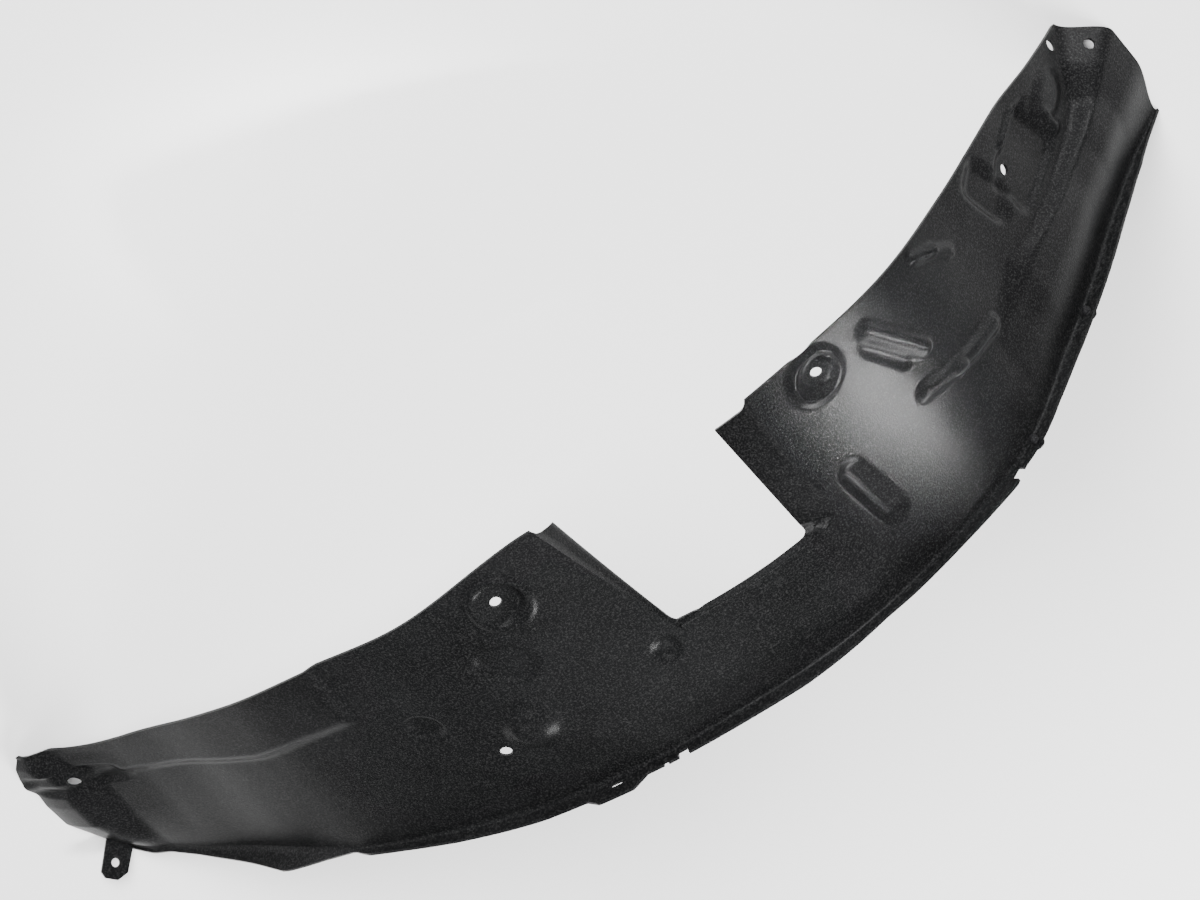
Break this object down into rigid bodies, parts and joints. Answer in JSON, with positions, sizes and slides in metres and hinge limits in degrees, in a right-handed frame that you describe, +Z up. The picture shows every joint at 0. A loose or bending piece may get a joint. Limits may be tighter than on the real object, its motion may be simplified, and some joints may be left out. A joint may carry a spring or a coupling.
{
  "type": "wheel arch liner",
  "caption": "Moulded black plastic liner that arches over the right-hand front wheel, with a strut cut-out, edge flanges, fixing holes and clips in its outboard flange.",
  "frame": {"origin": "on the level of the two cut ends the liner stands on, under the middle of its bounding box", "axes": "+X forward in the car, +Y inboard towards the engine, +Z up"},
  "size_m": [1.0119, 0.2401, 0.3569],
  "materials": {
    "sheet": "satin black, fine grain",
    "clip": "plain black"
  },
  "bodies": {
    "root": {"liner": "sheet", "upper_clip": "clip", "lower_clip": "clip"}
  },
  "joints": []
}
